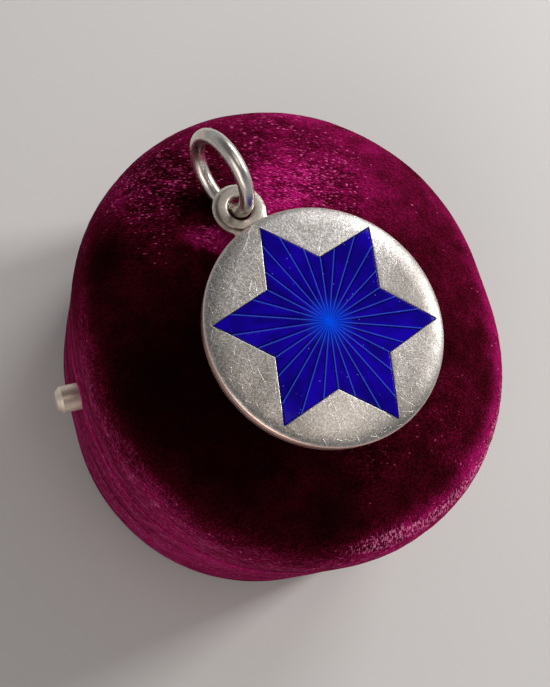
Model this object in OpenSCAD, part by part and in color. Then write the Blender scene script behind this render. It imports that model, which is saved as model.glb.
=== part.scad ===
// Enamelled star pendant lying on the lid of a small velvet box.
// Millimetres. The box stands on z = 0, its push button faces -Y and its hinge +Y.

/* [Box] */
// Radius of the box's two round ends
end_radius = 24.5; // [20:0.1:30]
// Half the length of the straight walls between the ends
half_straight = 2.7; // [0:0.05:8]
// Height of the closed box at the middle of its lid
box_height = 33.2; // [25:0.1:45]
// Height of the base's rim
rim_height = 17.8; // [12:0.1:25]
// Gap between the base's rim and the lid
lid_gap = 0.2; // [0.1:0.05:0.5]
// Radius of the lid's padded edge
pad_radius = 6; // [3:0.1:12]
// How far the lid's top rises from the padded edge to its middle
lid_rise = 2.6; // [0.5:0.1:4]
// Thickness of the covered board walls
wall = 2.5; // [1.5:0.1:4]
// Radius under the base's outer edge
foot_radius = 1.2; // [0.5:0.1:3]

/* [Push button] */
// Radius of the button
button_radius = 1.6; // [1:0.05:2.5]
// How far the button stands out of the wall
button_reach = 3; // [1:0.1:5]
// Height of the button's axis
button_height = 14.9; // [8:0.1:16]
// Depth of the button's seat in the wall
button_seat = 1.6; // [1:0.1:2]

/* [Hinge] */
// Radius of the hinge knuckles
knuckle_radius = 1; // [0.8:0.05:1.5]
// Radius of the hinge pin
pin_radius = 0.45; // [0.3:0.05:0.6]
// Length of the whole hinge
hinge_length = 11; // [8:0.5:14]
// Length of the middle knuckle
middle_knuckle = 4; // [3:0.1:6]
// Height of each leaf away from the pin
leaf_height = 4.6; // [3:0.1:6]
// Thickness of the leaves
leaf_thick = 0.5; // [0.3:0.05:0.8]

/* [Pendant place] */
// Pendant's centre across the box
pendant_x = 2.8; // [-5:0.05:5]
// Pendant's centre from the box's middle towards the hinge
pendant_y = -0.75; // [-5:0.05:5]
// Turn of the pendant on the lid
pendant_turn = 110; // [0:1:360]
// Gap under the pendant, filled by the velvet's pile
pile_gap = 0.3; // [0.05:0.05:0.5]

/* [Case] */
// Radius of the round case
case_radius = 13; // [10:0.1:16]
// Rise of the front plate's dome
face_rise = 0.3; // [0.1:0.05:1]
// Radius of the front plate's shoulder
shoulder = 0.45; // [0.2:0.05:0.8]
// Thickness of the front plate
plate_thick = 1.2; // [0.8:0.05:1.6]
// Gap at the seam between the plates
seam_gap = 0.1; // [0.05:0.05:0.3]
// Thickness of the back case
back_thick = 1.7; // [1:0.05:3]
// Radius of the back case's outer edge
back_edge = 0.9; // [0.4:0.05:1.2]

/* [Star] */
// Radius at the star's points
star_point = 12.28; // [8:0.01:13]
// Radius at the star's inner corners
star_corner = 7.19; // [5:0.01:9]
// Depth of the enamel's cell below the middle of the face
cell_depth = 0.6; // [0.4:0.05:0.8]
// Height of the rays on the cell's floor
ray_height = 0.1; // [0.05:0.01:0.2]
// Width of each ray
ray_width = 0.2; // [0.1:0.05:0.4]
// Number of rays
ray_count = 30; // [12:6:48]

/* [Eye and ring] */
// Distance from the case's centre to the eye's centre
eye_distance = 15.42; // [14:0.05:18]
// Outer radius of the eye
eye_radius = 2.52; // [2:0.05:3]
// Radius of the eye's hole
eye_hole = 1.35; // [1:0.05:1.8]
// Thickness of the eye
eye_thick = 1; // [0.6:0.05:1.5]
// Radius from the ring's centre to the middle of its wire
ring_radius = 4.27; // [3:0.05:6]
// Radius of the ring's wire
wire_radius = 0.8; // [0.5:0.05:1]
// Ring's place across, along and above the pendant
ring_place = [-0.35, 19.05, 0.6];

/* [Hidden] */
$fn = 96;
lid_floor = rim_height + lid_gap;
hinge_y = end_radius + knuckle_radius + 0.3;
hinge_z = rim_height + lid_gap / 2;
leaf_y = end_radius + 0.1;
face_z = box_height + pile_gap + back_thick + seam_gap + plate_thick;
back_z = face_z - plate_thick - seam_gap;
star_scale = 0.995;

function dome_radius(flat, rise) = (flat * flat + rise * rise) / (2 * rise);

// Points of a half section of a disc with a gently domed top and a round edge, highest at y = 0
function domed_points(radius, edge, rise, bottom, edge_steps, top_steps) =
    let (flat = radius - edge, big = dome_radius(flat, rise), lean = asin(flat / (big - edge)),
        drop = big - (big - edge) * cos(lean), meet = big * sin(lean))
    concat(
        [[0, bottom], [radius, bottom]],
        [for (i = [0:edge_steps]) let (a = (90 - lean) * i / edge_steps)
            [flat + edge * cos(a), -drop + edge * sin(a)]],
        [for (i = [1:top_steps]) let (x = meet * (1 - i / top_steps)) [x, -big + sqrt(big * big - x * x)]]
    );

module domed_half(radius, edge, rise, bottom, edge_steps = 6, top_steps = 10) {
    polygon(domed_points(radius, edge, rise, bottom, edge_steps, top_steps));
}

// Turns a half section into the box's plan: two half rounds and a straight middle
module box_sweep() {
    translate([half_straight, 0, 0])
        rotate([0, 0, -90])
            rotate_extrude(angle = 180)
                children();
    translate([-half_straight, 0, 0])
        rotate([0, 0, 90])
            rotate_extrude(angle = 180)
                children();
    for (side = [0, 1])
        mirror([0, side, 0])
            rotate([90, 0, 90])
                translate([0, 0, -half_straight])
                    linear_extrude(height = 2 * half_straight)
                        children();
}

module star_outline(scale_by) {
    polygon([for (i = [0:11]) let (r = scale_by * (i % 2 == 0 ? star_point : star_corner), a = 90 + 30 * i)
        [r * cos(a), r * sin(a)]]);
}

module base_section() {
    translate([0, foot_radius])
        square([end_radius, rim_height - foot_radius]);
    square([end_radius - foot_radius, foot_radius]);
    intersection() {
        translate([end_radius - foot_radius, foot_radius])
            circle(r = foot_radius);
        translate([end_radius - foot_radius, 0])
            square([foot_radius, foot_radius]);
    }
}

module base() {
    color([0.45, 0.02, 0.22])
        difference() {
            box_sweep()
                base_section();
            box_sweep()
                translate([0, wall])
                    square([end_radius - wall, rim_height]);
            translate([0, -end_radius + button_seat, button_height])
                rotate([90, 0, 0])
                    cylinder(h = 4, r = button_radius + 0.1);
        }
}

module lid() {
    color([0.5, 0.02, 0.26])
        difference() {
            translate([0, 0, box_height])
                box_sweep()
                    domed_half(end_radius, pad_radius, lid_rise, lid_floor - box_height, 12, 12);
            translate([0, 0, box_height - wall])
                box_sweep()
                    domed_half(end_radius - wall, pad_radius - wall, lid_rise, lid_floor - box_height,
                        12, 12);
        }
}

// A hinge leaf with its knuckles, standing up from the pin; gaps are cut for the other leaf's knuckles
module hinge_leaf(outer) {
    side_length = (hinge_length - middle_knuckle) / 2;
    reach = knuckle_radius + 0.15;
    difference() {
        union() {
            translate([-hinge_length / 2, leaf_y, hinge_z + reach])
                cube([hinge_length, leaf_thick, leaf_height - reach]);
            for (x = outer ? [-hinge_length / 2, middle_knuckle / 2] : [-middle_knuckle / 2])
                translate([x, 0, 0]) {
                    translate([0, leaf_y, hinge_z])
                        cube([outer ? side_length : middle_knuckle, leaf_thick, reach + 0.2]);
                    translate([0, hinge_y, hinge_z])
                        rotate([0, 90, 0])
                            cylinder(h = outer ? side_length : middle_knuckle, r = knuckle_radius);
                }
        }
        if (outer)
            translate([-middle_knuckle / 2 - 0.1, leaf_y - 1, hinge_z - reach])
                cube([middle_knuckle + 0.2, 4, 2 * reach]);
        if (!outer) {
            for (x = [-hinge_length / 2 - 1, middle_knuckle / 2 - 0.05])
                translate([x, leaf_y - 1, hinge_z - reach])
                    cube([side_length + 1.05, 4, 2 * reach]);
            translate([-hinge_length, hinge_y, hinge_z])
                rotate([0, 90, 0])
                    cylinder(h = 2 * hinge_length, r = pin_radius + 0.06);
        }
    }
}

module hinge_base() {
    color([0.75, 0.62, 0.35]) {
        translate([0, 0, 2 * hinge_z])
            mirror([0, 0, 1])
                hinge_leaf(true);
        translate([-hinge_length / 2, hinge_y, hinge_z])
            rotate([0, 90, 0])
                cylinder(h = hinge_length, r = pin_radius);
    }
}

module hinge_lid() {
    color([0.75, 0.62, 0.35])
        hinge_leaf(false);
}

module push_button() {
    tip = 0.5;
    color([0.75, 0.62, 0.35])
        translate([0, -end_radius + button_seat - 0.1, button_height])
            rotate([90, 0, 0]) {
                cylinder(h = button_seat + button_reach - tip - 0.1, r = button_radius);
                translate([0, 0, button_seat + button_reach - tip - 0.1])
                    cylinder(h = tip, r1 = button_radius, r2 = button_radius - tip);
            }
}

// Moves the pendant from its own centre to its place on the lid
module on_lid() {
    translate([pendant_x, pendant_y, 0])
        rotate([0, 0, pendant_turn])
            children();
}

module eye_section() {
    inner = 0.35;
    outer = 0.22;
    translate([eye_hole + inner, 0])
        square([eye_radius - outer - eye_hole - inner, eye_thick]);
    translate([eye_hole, inner])
        square([inner, eye_thick - 2 * inner]);
    translate([eye_radius - outer, outer])
        square([outer, eye_thick - 2 * outer]);
    for (y = [inner, eye_thick - inner])
        translate([eye_hole + inner, y])
            circle(r = inner);
    for (y = [outer, eye_thick - outer])
        translate([eye_radius - outer, y])
            circle(r = outer);
}

module eye_neck() {
    width = 2.75;
    difference() {
        linear_extrude(height = eye_thick - 0.15)
            polygon([[-width, case_radius - 1.2], [width, case_radius - 1.2], [width, case_radius - 0.5],
                [eye_radius - 0.1, case_radius + 0.9], [1.5, eye_distance - 1.4],
                [-1.5, eye_distance - 1.4], [-eye_radius + 0.1, case_radius + 0.9],
                [-width, case_radius - 0.5]]);
        translate([0, eye_distance, -1])
            cylinder(h = 4, r = eye_hole + 0.35);
    }
}

module back_case() {
    color([0.72, 0.7, 0.66])
        on_lid() {
            translate([0, 0, back_z - back_thick])
                rotate([180, 0, 0])
                    rotate_extrude()
                        domed_half(case_radius - 0.1, back_edge, 0.25, -back_thick);
            translate([0, eye_distance, back_z + 0.1 - eye_thick])
                rotate_extrude()
                    eye_section();
            translate([0, 0, back_z + 0.1 - eye_thick])
                eye_neck();
        }
}

module face_solid(lower, bottom) {
    translate([0, 0, face_z - lower])
        rotate_extrude()
            domed_half(case_radius, shoulder, face_rise, bottom);
}

module rays() {
    intersection() {
        union() {
            for (i = [0:ray_count - 1])
                rotate([0, 0, i * 360 / ray_count])
                    translate([1, 0, face_z - cell_depth])
                        rotate([90, 0, 90])
                            linear_extrude(height = star_point)
                                polygon([[-ray_width / 2, -0.1], [ray_width / 2, -0.1], [ray_width / 2, 0],
                                    [0, ray_height], [-ray_width / 2, 0]]);
        }
        translate([0, 0, face_z - plate_thick + 0.1])
            linear_extrude(height = plate_thick)
                star_outline(1);
    }
}

module front_plate() {
    color([0.78, 0.76, 0.72])
        on_lid() {
            difference() {
                face_solid(0, -plate_thick);
                translate([0, 0, face_z - cell_depth])
                    linear_extrude(height = 2)
                        star_outline(1);
                translate([0, 0, face_z - plate_thick - 1])
                    difference() {
                        cylinder(h = 1.2, r = case_radius + 1);
                        translate([0, 0, -1])
                            cylinder(h = 4, r = case_radius - 0.25);
                    }
            }
            rays();
        }
}

module enamel_star() {
    color([0.05, 0.03, 0.6])
        on_lid()
            intersection() {
                face_solid(0.02, -plate_thick);
                translate([0, 0, face_z - cell_depth + ray_height + 0.02])
                    linear_extrude(height = 2)
                        star_outline(star_scale);
            }
}

module jump_ring() {
    color([0.75, 0.73, 0.7])
        on_lid()
            translate([ring_place[0], ring_place[1], face_z + ring_place[2]])
                rotate([0, 90, 0])
                    rotate_extrude()
                        translate([ring_radius, 0])
                            circle(r = wire_radius);
}

base();
lid();
hinge_base();
hinge_lid();
push_button();
back_case();
front_plate();
enamel_star();
jump_ring();
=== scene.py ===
# Enamelled star pendant lying on a velvet box: the looks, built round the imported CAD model.
# Lengths in the dictionaries are millimetres, in the CAD model's own frame.
import math

import bmesh
import bpy
import numpy as np
from mathutils import Matrix, Vector


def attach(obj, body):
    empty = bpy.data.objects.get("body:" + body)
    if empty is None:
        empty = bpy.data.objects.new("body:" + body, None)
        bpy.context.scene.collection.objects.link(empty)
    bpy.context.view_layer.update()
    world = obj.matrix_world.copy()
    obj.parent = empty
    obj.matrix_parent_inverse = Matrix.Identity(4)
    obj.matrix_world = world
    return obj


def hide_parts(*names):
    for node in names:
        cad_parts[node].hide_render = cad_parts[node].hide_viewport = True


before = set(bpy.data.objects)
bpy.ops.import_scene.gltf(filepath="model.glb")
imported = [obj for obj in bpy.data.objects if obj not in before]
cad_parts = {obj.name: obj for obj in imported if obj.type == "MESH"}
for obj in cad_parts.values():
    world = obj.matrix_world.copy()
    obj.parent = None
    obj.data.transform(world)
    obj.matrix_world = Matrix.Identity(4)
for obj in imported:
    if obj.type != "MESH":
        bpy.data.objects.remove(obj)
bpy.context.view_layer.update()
scene = bpy.context.scene
mm = 0.001


# Small helpers for meshes

hashFactors = np.array([374761393, 668265263, 1274126177])
lowBits = 0xffffffff


def hashedCells(cells, seed):
    # one number from 0 to 1 for each lattice cell
    mixed = (cells @ hashFactors + seed * 974634777) & lowBits
    mixed = ((mixed ^ (mixed >> 13)) * 1103515245) & lowBits
    return ((mixed ^ (mixed >> 16)) & 0xffff) / 65535.0


def latticeNoise(points, size, seed):
    # smooth noise from -1 to 1 with features of about that size
    scaled = points / size
    cells = np.floor(scaled).astype(np.int64)
    inside = scaled - cells
    inside = inside * inside * (3 - 2 * inside)
    total = np.zeros(len(points))
    for corner in range(8):
        offset = np.array([corner & 1, corner >> 1 & 1, corner >> 2 & 1])
        weight = np.prod(np.where(offset, inside, 1 - inside), axis=1)
        total += weight * hashedCells(cells + offset, seed)
    return total * 2 - 1


def noiseSum(points, *layers):
    # several noises added up: size, seed and share of each
    return sum(share * latticeNoise(points, size, seed) for size, seed, share in layers)


def softStep(value, low, high):
    t = np.clip((value - low) / (high - low), 0, 1)
    return t * t * (3 - 2 * t)


def bell(value, width):
    return np.exp(-(value / width) ** 2)


def blob(points, centre, radius):
    # a soft round patch: 1 at its centre, 0 from its radius on
    gap = np.linalg.norm(points[:, :len(centre)] - np.array(centre), axis=1)
    return softStep(-gap, -radius, 0)


def arcPoints(centre, radius, start, end, steps):
    angles = np.radians(np.linspace(start, end, steps + 1))
    return [(centre[0] + radius * math.cos(a), centre[1] + radius * math.sin(a)) for a in angles]


def walkProfile(points, places):
    # points along a half section at the given lengths, with the outward direction there
    line = np.array(points, float)
    line = line[np.r_[True, np.linalg.norm(np.diff(line, axis=0), axis=1) > 1e-6]]
    run = np.r_[0, np.cumsum(np.linalg.norm(np.diff(line, axis=0), axis=1))]
    reach = 0.12    # how far to either side the direction looks
    spotAt = lambda place: np.array([np.interp(place, run, line[:, k]) for k in (0, 1)]).T
    along = spotAt(np.minimum(places + reach, run[-1])) - spotAt(np.maximum(places - reach, 0))
    along /= np.linalg.norm(along, axis=1)[:, None]
    return spotAt(places), np.array([-along[:, 1], along[:, 0]]).T


def profileLength(points):
    line = np.array(points, float)
    return float(np.linalg.norm(np.diff(line, axis=0), axis=1).sum())


def fullTurn(columns):
    return np.linspace(0, 2 * math.pi, columns, endpoint=False)


def moved(points, place):
    return np.array([place @ Vector(p) for p in points])


def newObject(name, points, faces):
    # a mesh object from millimetre points
    mesh = bpy.data.meshes.new(name)
    mesh.from_pydata((np.asarray(points) * mm).tolist(), [], faces)
    made = bpy.data.objects.new(name, mesh)
    scene.collection.objects.link(made)
    return made


def meshPiece(name, points, faces, body, material, slot, sharpAngle=None):
    # a smooth mesh object that rides on a body
    piece = newObject(name, points, faces)
    piece.data.validate()
    piece.data.update()
    smoothMesh(piece.data, sharpAngle)
    piece.data.materials.append(material)
    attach(piece, body)
    return piece


def smoothMesh(mesh, sharpAngle):
    mesh.polygons.foreach_set("use_smooth", [True] * len(mesh.polygons))
    if sharpAngle is not None:
        mesh.set_sharp_from_angle(angle=math.radians(sharpAngle))


def paintPoints(piece, **fields):
    # numbers for each point of the mesh, which a material can read
    for name, values in fields.items():
        layer = piece.data.attributes.new(name, "FLOAT", "POINT")
        layer.data.foreach_set("value", np.asarray(values, np.float32))


def bridgeRings(first, second, count):
    # quads between two closed rings of points
    return [(first + n, second + n, second + (n + 1) % count, first + (n + 1) % count) for n in range(count)]


def bridgeAll(starts, count):
    # quads between each ring of points and the next
    return [face for pair in zip(starts, starts[1:]) for face in bridgeRings(*pair, count)]


def closeRing(first, count, centre, order=1):
    # triangles from a ring to the point that closes it; an order of -1 turns them over
    return [(first + n, first + (n + 1) % count, centre)[::order] for n in range(count)]


def ringPoints(loops, angles):
    # points of closed rings, each given by its radius and height all round or at each angle
    return np.vstack([np.array([r * np.cos(angles), r * np.sin(angles), z + 0 * angles]).T for r, z in loops])


def lathePiece(profile, columns):
    # a half section turned round the z axis; a radius of 0 becomes one point
    points, faces, rings = [], [], []
    for radius, height in profile:
        angles = fullTurn(columns) if radius > 0 else [0]
        rings.append((len(points), len(angles)))
        points += [(radius * math.cos(a), radius * math.sin(a), height) for a in angles]
    for (first, firstCount), (second, secondCount) in zip(rings, rings[1:]):
        if firstCount == 1:
            faces += closeRing(second, columns, first)
        elif secondCount == 1:
            faces += closeRing(first, columns, second, -1)
        else:
            faces += bridgeRings(first, second, columns)
    return np.array(points), faces


# Small helpers for shader nodes

class nodeValue:
    # a node's output that is added and multiplied like a number, by a math node for each step
    def __init__(self, socket):
        self.socket = socket

    def __add__(self, other):
        return compute("ADD", self, other)

    def __sub__(self, other):
        return compute("SUBTRACT", self, other)

    def __rsub__(self, other):
        return compute("SUBTRACT", other, self)

    def __mul__(self, other):
        return compute("MULTIPLY", self, other)

    def __truediv__(self, other):
        return compute("DIVIDE", self, other)

    def __rtruediv__(self, other):
        return compute("DIVIDE", other, self)

    def __abs__(self):
        return compute("ABSOLUTE", self)


def addNode(kind, taken, values, tree=None, **settings):
    # adds a node where its inputs come from, and gives the output that is taken, or several of them
    tree = tree or next(v.socket.id_data for v in values.values() if isinstance(v, nodeValue))
    node = tree.nodes.new(kind)
    for key, value in settings.items():
        setattr(node, key, value)
    feed(node.inputs, values)
    if isinstance(taken, tuple):
        return [nodeValue(node.outputs[key]) for key in taken]
    return nodeValue(node.outputs[taken])


def feed(sockets, values):
    # links other nodes' outputs, or sets plain numbers and colours
    for key, value in values.items():
        if isinstance(value, nodeValue):
            sockets[key].id_data.links.new(value.socket, sockets[key])
        else:
            sockets[key].default_value = value


def compute(operation, *values):
    return addNode("ShaderNodeMath", 0, dict(enumerate(values)), operation=operation)


def span(value, low, high, newLow=0.0, newHigh=1.0):
    # maps a range to another with soft ends
    return addNode("ShaderNodeMapRange", 0, {
        "Value": value, "From Min": low, "From Max": high, "To Min": newLow, "To Max": newHigh},
        interpolation_type="SMOOTHSTEP")


def layColours(base, *coats):
    # colours laid over a base, each with its share
    for share, colour in coats:
        base = addNode("ShaderNodeMix", 2, {0: share, 6: base, 7: colour}, data_type="RGBA")
    return base


def noiseAt(place, size, detail=2.0, rough=0.5, twist=0.0):
    # noise with features of about that many millimetres
    return addNode("ShaderNodeTexNoise", "Fac", {"Vector": place, "Scale": 1 / (size * mm), "Detail": detail,
                                                 "Roughness": rough, "Distortion": twist})


def cellsAt(place, scale, dimensions="3D"):
    # distance to the nearest cell's centre, where that is, and a random number and colour for the cell
    near, centre = addNode("ShaderNodeTexVoronoi", ("Distance", "Position"),
                           {"Vector": place, "Scale": scale}, voronoi_dimensions=dimensions, feature="F1")
    return near, centre, *addNode("ShaderNodeTexWhiteNoise", ("Value", "Color"), {"Vector": centre},
                                  noise_dimensions="3D")


def drawnOut(place, stretch, turn=0.0, shift=(0, 0, 0)):
    # places for a pattern that is stretched, turned by degrees and shifted
    return addNode("ShaderNodeMapping", 0, {"Vector": place, "Location": shift, "Scale": stretch,
                                            "Rotation": (0, 0, math.radians(turn))}, vector_type="TEXTURE")


def partsOf(vector):
    return addNode("ShaderNodeSeparateXYZ", (0, 1, 2), {0: vector})


def bumpNormal(height, depth, strength=1.0):
    return addNode("ShaderNodeBump", "Normal",
                   {"Height": height, "Distance": depth * mm, "Strength": strength})


def startGroup(name, inputs, outputs):
    # a node group; an input with no number of its own is a place
    group = bpy.data.node_groups.new(name, "ShaderNodeTree")
    for label, value in inputs.items():
        kind = "NodeSocketVector" if value is None else "NodeSocketFloat"
        socket = group.interface.new_socket(label, in_out="INPUT", socket_type=kind)
        if value is not None:
            socket.default_value = value
    for label in outputs:
        group.interface.new_socket(label, in_out="OUTPUT", socket_type="NodeSocketFloat")
    given = {s.name: nodeValue(s) for s in group.nodes.new("NodeGroupInput").outputs}
    return group, given, group.nodes.new("NodeGroupOutput").inputs


def useGroup(tree, group, values):
    node = tree.nodes.new("ShaderNodeGroup")
    node.node_tree = group
    feed(node.inputs, values)
    return {s.name: nodeValue(s) for s in node.outputs}


def startMaterial(name, **fixed):
    # a material with its principled shader; the numbers given stay the same all over the surface
    material = bpy.data.materials.new(name)
    material.use_nodes = True
    tree = material.node_tree
    shader = tree.nodes["Principled BSDF"].inputs
    for socket, value in fixed.items():
        shader[socket.replace("_", " ")].default_value = value
    return material, tree, shader


def objectPlace(tree):
    return addNode("ShaderNodeTexCoord", "Object", {}, tree)


def pointValue(tree, name):
    return addNode("ShaderNodeAttribute", "Fac", {}, tree, attribute_name=name)


# Camera, floor and lights

cameraLook = {
    "position": (23.61, -36.468, 119.944),
    "right": (0.281998, 0.923981, 0.258334),
    "up": (-0.934662, 0.203807, 0.291326),
    "back": (0.216529, -0.323608, 0.921083),
    "lens": 47.16,
}
studio = {
    "floorRings": (0, 60, 150, 400, 1000, 2600),
    "floorColour": (0.72, 0.71, 0.70, 1),
    "skyColour": (0.95, 0.96, 1.0, 1),
    "skyAbove": 0.10,
    "skyRound": 0.42,
    "lights": [
        # name, direction from the pendant, distance, size, watts, colour
        ("keyLight", (-0.12, 0.82, 0.56), 430, (90, 90), 0.9, (1.0, 0.98, 0.955)),
        ("windowLight", (-0.55, 0.62, 0.56), 460, (180, 160), 0.62, (1.0, 0.98, 0.98)),
        ("aboveLight", (0.08, 0.14, 0.98), 500, (180, 180), 0.20, (1.0, 0.89, 0.78)),
        ("fillLight", (0.55, -0.75, 0.55), 520, (320, 320), 0.46, (1.0, 0.95, 0.91)),
        ("lowLight", (0.80, -0.56, 0.27), 420, (240, 110), 0.15, (1.0, 0.80, 0.66)),
    ],
}


def placeCamera():
    data = bpy.data.cameras.new("photoCamera")
    data.lens = cameraLook["lens"]
    data.sensor_width = 36
    data.sensor_fit = "AUTO"
    data.clip_start = 0.005
    camera = bpy.data.objects.new("photoCamera", data)
    axes = Matrix((cameraLook["right"], cameraLook["up"], cameraLook["back"])).transposed()
    camera.matrix_world = Matrix.Translation(Vector(cameraLook["position"]) * mm) @ axes.to_4x4()
    scene.collection.objects.link(camera)
    scene.camera = camera


def buildFloor():
    floor = newObject("paleFloor", *lathePiece([(radius, 0) for radius in studio["floorRings"]], 96))
    paper = startMaterial("floorPaper", Base_Color=studio["floorColour"], Roughness=0.85)[0]
    floor.data.materials.append(paper)


def placeLights():
    world = bpy.data.worlds.new("softSky")
    scene.world = world
    world.use_nodes = True
    upward = partsOf(addNode("ShaderNodeTexCoord", "Generated", {}, world.node_tree))[2]
    glow = span(upward, 0.15, 0.85, studio["skyRound"], studio["skyAbove"])
    feed(world.node_tree.nodes["Background"].inputs, {"Color": studio["skyColour"], "Strength": glow})
    target = Vector((0, 0, 30)) * mm    # a little under the pendant
    for name, direction, distance, size, watts, colour in studio["lights"]:
        data = bpy.data.lights.new(name, "AREA")
        data.shape = "RECTANGLE"
        data.size, data.size_y = size[0] * mm, size[1] * mm
        data.energy = watts
        data.color = colour
        light = bpy.data.objects.new(name, data)
        away = Vector(direction).normalized()
        light.location = target + away * distance * mm
        light.rotation_mode = "QUATERNION"
        light.rotation_quaternion = away.to_track_quat("Z", "Y")
        scene.collection.objects.link(light)
    scene.view_settings.view_transform = "Standard"
    scene.view_settings.look = "None"


placeCamera()
buildFloor()
placeLights()
print("camera, floor and lights are in place")


# Velvet

velvetLook = {
    # deep, body, lit and the brightest colour are the velvet from shaded to brightly lit: painted light and
    # shade; the speck colour and the whitish colour after it are painted glints
    "deep": (0.0045, 0.0003, 0.0003, 1),
    "body": (0.085, 0.0022, 0.0120, 1),
    "lit": (0.36, 0.0060, 0.105, 1),
    "brightestLit": (0.80, 0.022, 0.30, 1),
    "speck": (0.92, 0.16, 0.43, 1),
    "paintedFrostGlint": (0.98, 0.33, 0.58, 1),
    "pale": (0.50, 0.11, 0.26, 1),
    "paleShare": 0.85,
    "sheenTint": (0.90, 0.02, 0.25, 1),
    "sheen": 0.16,
    "sheenRough": 0.30,
    "tuft": 0.16,
    "rowTurn": 75,
    "rowStretch": 2.4,
    "pileDepth": 0.15,
}


def buildPileGroup():
    # grain of the pile: fine tufts, painted glints as bright specks where it is crushed and along its combed
    # edge, and a height for the bump
    look = velvetLook
    group, given, result = startGroup("pileGrain", {
        "Place": None, "Streak Place": None, "Tuft Size": look["tuft"], "Crush": 0.0, "Streak": 0.0,
        "Comb": 0.0}, ["Tuft", "Speck", "Streak", "Height"])
    crush, comb, stripes = given["Crush"], given["Comb"], given["Streak Place"]
    rows = drawnOut(given["Place"], (look["rowStretch"], 1.0, 1.0), look["rowTurn"])
    near, _, random, _ = cellsAt(rows, 1 / mm / given["Tuft Size"])
    tuft = span(near, 0.75, 0.1)
    cloud = noiseAt(given["Place"], 0.7, 3.0, 0.65)
    threads = noiseAt(stripes, 1.0, 4.0, 0.58, 2.4)
    speck = span(random, span(crush, 0.0, 1.0, 0.996, 0.62), 1.0) * tuft * span(cloud, 0.38, 0.60, 0.35, 1.5)
    ticks = span(noiseAt(drawnOut(stripes, (1 / 6.4, 1 / 0.6, 1.0)), 1.0, 1.4, 0.5), 0.47, 0.62) * comb
    # painted glints: whitish tips where the pile is combed along the lid's edge
    paintedFrostGlint = span(ticks, 0.28, 0.8) * span(comb, 0.35, 0.95, 0.0, 0.72)
    streaks = span(threads, 0.51, 0.62) * given["Streak"]
    uneven = (random - 0.5) * (crush * 1.2 + 0.08) + 0.75 + ticks - comb * 0.12
    height = tuft * 0.6 * (crush + 0.2) + cloud * 0.5 + ticks * 0.5 + streaks * 0.5
    feed(result, {"Tuft": (tuft * 0.5 + 0.6) * uneven, "Speck": compute("MAXIMUM", speck, paintedFrostGlint),
                  "Streak": streaks, "Height": height})
    return group


pileGrain = buildPileGroup()


def velvetMaterial(name):
    look = velvetLook
    material, tree, shader = startMaterial(
        name, Specular_IOR_Level=0.01, Sheen_Weight=look["sheen"],
        Sheen_Roughness=look["sheenRough"], Sheen_Tint=look["sheenTint"])
    comb = pointValue(tree, "comb")
    grain = useGroup(tree, pileGrain, {
        "Place": objectPlace(tree), "Tuft Size": look["tuft"], "Comb": comb,
        "Streak Place": addNode("ShaderNodeUVMap", "UV", {}, tree, uv_map="pileRun"),
        "Crush": pointValue(tree, "crush"), "Streak": pointValue(tree, "streak")})
    # painted sheen: the pile is darker where it is seen end on and lighter where it is seen along its side
    normal = bumpNormal(grain["Height"], look["pileDepth"], 0.9)
    side = addNode("ShaderNodeLayerWeight", "Facing", {"Blend": 0.5, "Normal": normal})
    # painted light and shade: the painted field of lighter and darker patches and lit edges scales the shine
    shine = span(side, 0.02, 0.55, 0.45, 1.25) * pointValue(tree, "nap")
    # painted shade in the hollows between tufts, painted highlight on their tops
    shine = shine * span(pointValue(tree, "relief"), 0.0, 1.0, 0.35, 1.45)
    shine = shine * (grain["Streak"] * 0.55 + grain["Tuft"])
    pale = grain["Streak"] * span(shine, 0.2, 0.9, 0.0, look["paleShare"])
    # painted glints: bright specks laid into the colour where the pile shines, whiter along the combed edge,
    # and made metallic there
    paintedSparkle = grain["Speck"] * span(shine, 0.12, 0.75, 0.0, 0.95)
    tips = layColours(look["speck"], (span(comb, 0.35, 0.8), look["paintedFrostGlint"]))
    # the colour goes from shaded to brightest lit as the painted shine grows
    colour = layColours(look["deep"], (span(shine, 0.0, 0.45), look["body"]),
                        (span(shine, 0.25, 1.1), look["lit"]), (span(shine, 1.0, 2.4), look["brightestLit"]),
                        (pale, look["pale"]), (paintedSparkle, tips))
    feed(shader, {"Base Color": colour, "Metallic": paintedSparkle * 0.7, "Roughness": 0.95 - paintedSparkle * 0.45,
                  "Normal": normal})
    return material


liningLook = {"shade": (0.74, 0.66, 0.55, 1), "silk": (0.96, 0.90, 0.79, 1),
              "sheenTint": (0.95, 0.88, 0.76, 1)}
paperLook = {"dark": (0.030, 0.004, 0.008, 1), "worn": (0.085, 0.018, 0.026, 1)}


def silkMaterial():
    # the cream silk inside the box: fine threads crossing, and soft creases
    look = liningLook
    material, tree, shader = startMaterial("creamSilkLining", Sheen_Weight=0.25, Sheen_Roughness=0.4,
                                           Sheen_Tint=look["sheenTint"], Specular_IOR_Level=0.45)
    place = objectPlace(tree)
    warp, weft = (noiseAt(drawnOut(place, stretch), 0.3) for stretch in ((7.0, 0.5, 0.5), (0.5, 7.0, 0.5)))
    weave = (warp + weft) * 0.5
    creases = noiseAt(place, 7.0, 4.0, 0.6)
    share = span(weave, 0.36, 0.64) * 0.55 + span(creases, 0.3, 0.7) * 0.45
    feed(shader, {"Base Color": layColours(look["shade"], (share, look["silk"])),
                  "Roughness": span(creases, 0.3, 0.7, 0.55, 0.36),
                  "Normal": bumpNormal(weave * 0.25 + creases, 0.35, 0.8)})
    return material


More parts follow.
